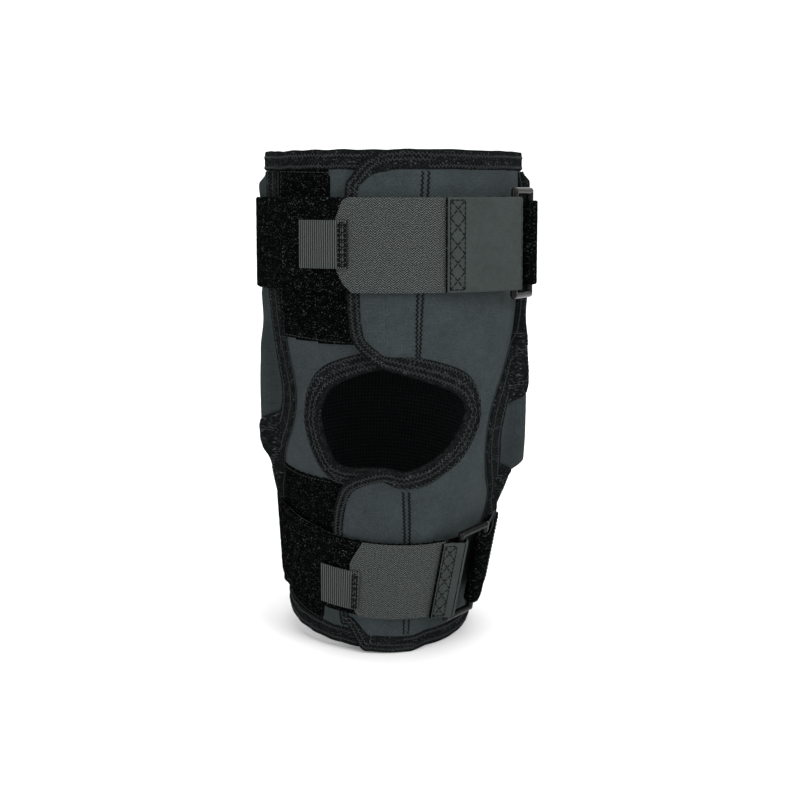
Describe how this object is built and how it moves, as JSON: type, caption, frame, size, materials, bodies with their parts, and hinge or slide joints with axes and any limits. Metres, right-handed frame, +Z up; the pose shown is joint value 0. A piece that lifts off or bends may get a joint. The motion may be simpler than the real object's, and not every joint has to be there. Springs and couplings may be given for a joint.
{
  "type": "hinged knee brace",
  "caption": "Wraparound knee brace with open kneecap, two geared side hinges in pockets, and plush straps folded back through plastic rings.",
  "frame": {"origin": "on the leg's axis at knee height, midway between the two hinge pivots and between the two hinges", "axes": "+X to the right seen from the front, -Y to the front (kneecap side), +Z up the leg; at rest each cuff leans 7 degrees back from +Z"},
  "size_m": [0.1581, 0.1599, 0.2883],
  "materials": {
    "neoprene": "nylon-faced foam rubber, fine knit",
    "pocket_fabric": "stretch knit",
    "mesh_fabric": "open stretch mesh",
    "edge_tape": "ribbed knit tape with cover stitch",
    "loop_plush": "brushed loop pile",
    "strap_plush": "loop pile strap with a smooth grey reverse",
    "hook_tape": "twill-backed hook tape",
    "webbing": "ribbed webbing",
    "ring_plastic": "moulded, glossy",
    "aluminium_stay": "rolled strip",
    "hinge_steel": "stamped and riveted"
  },
  "bodies": {
    "thigh_cuff": {"left_panel_thigh": "neoprene", "right_panel_thigh": "neoprene", "back_panel_thigh": "neoprene", "thigh_rim_binding": "edge_tape", "upper_flap_binding": "edge_tape", "upper_loop_patch": "loop_plush", "upper_hook_pad": "hook_tape", "left_pocket_thigh": "pocket_fabric", "right_pocket_thigh": "pocket_fabric", "left_upper_stay": "aluminium_stay", "right_upper_stay": "aluminium_stay", "upper_strap": "strap_plush", "upper_ring_anchor": "strap_plush"},
    "hinge_links": {"left_panel_knee": "neoprene", "right_panel_knee": "neoprene", "popliteal_panel": "mesh_fabric", "patella_binding_left": "edge_tape", "patella_binding_right": "edge_tape", "left_pocket_knee": "pocket_fabric", "right_pocket_knee": "pocket_fabric", "left_hinge_inner_plate": "hinge_steel", "left_hinge_outer_plate": "hinge_steel", "left_hinge_rivets": "hinge_steel", "right_hinge_inner_plate": "hinge_steel", "right_hinge_outer_plate": "hinge_steel", "right_hinge_rivets": "hinge_steel"},
    "calf_cuff": {"left_panel_calf": "neoprene", "right_panel_calf": "neoprene", "back_panel_calf": "neoprene", "calf_rim_binding": "edge_tape", "lower_flap_binding": "edge_tape", "lower_loop_patch": "loop_plush", "lower_hook_pad": "hook_tape", "left_pocket_calf": "pocket_fabric", "right_pocket_calf": "pocket_fabric", "left_lower_stay": "aluminium_stay", "right_lower_stay": "aluminium_stay", "lower_strap": "strap_plush", "lower_ring_anchor": "strap_plush"},
    "upper_ring": {"upper_ring": "ring_plastic", "upper_strap_fold": "strap_plush"},
    "upper_tail": {"upper_strap_tail": "strap_plush", "upper_hook_tab": "hook_tape"},
    "upper_pull_tab": {"upper_pull_tab": "webbing"},
    "lower_ring": {"lower_ring": "ring_plastic", "lower_strap_fold": "strap_plush"},
    "lower_tail": {"lower_strap_tail": "strap_plush", "lower_hook_tab": "hook_tape"},
    "lower_pull_tab": {"lower_pull_tab": "webbing"}
  },
  "joints": [
    {"name": "knee_upper_pivot", "type": "hinge", "parent": "thigh_cuff", "child": "hinge_links", "pos_m": [0, 0, 0.011], "axis": [1, 0, 0], "range_deg": [-7, 38], "deforming": ["left_panel_knee", "right_panel_knee", "popliteal_panel", "patella_binding_left", "patella_binding_right", "left_pocket_knee", "right_pocket_knee"]},
    {"name": "knee_lower_pivot", "type": "hinge", "parent": "hinge_links", "child": "calf_cuff", "pos_m": [0, 0, -0.011], "axis": [1, 0, 0], "range_deg": [-7, 38]},
    {"name": "upper_ring_swing", "type": "hinge", "parent": "thigh_cuff", "child": "upper_ring", "pos_m": [0.07537, -0.01781, 0.09076], "axis": [0, 0.1219, 0.9925], "range_deg": [0, 30]},
    {"name": "upper_tail_peel", "type": "hinge", "parent": "upper_ring", "child": "upper_tail", "pos_m": [0.06846, -0.03824, 0.09327], "axis": [0, 0.1219, 0.9925], "range_deg": [0, 95]},
    {"name": "upper_pull_lift", "type": "hinge", "parent": "upper_tail", "child": "upper_pull_tab", "pos_m": [-0.03038, -0.06446, 0.0968], "axis": [0, 0.1219, 0.9925], "range_deg": [0, 70]},
    {"name": "lower_ring_swing", "type": "hinge", "parent": "calf_cuff", "child": "lower_ring", "pos_m": [0.04858, -0.02545, -0.09672], "axis": [0.148, -0.1924, 0.9701], "range_deg": [0, 30]},
    {"name": "lower_tail_peel", "type": "hinge", "parent": "lower_ring", "child": "lower_tail", "pos_m": [0.03642, -0.04347, -0.09844], "axis": [0.148, -0.1924, 0.9701], "range_deg": [0, 95]},
    {"name": "lower_pull_lift", "type": "hinge", "parent": "lower_tail", "child": "lower_pull_tab", "pos_m": [-0.02452, -0.05168, -0.10198], "axis": [0.0388, -0.2232, 0.974], "range_deg": [0, 70]}
  ],
  "couplings": [
    {"joint": "knee_lower_pivot", "follows": "knee_upper_pivot", "ratio": 1}
  ]
}
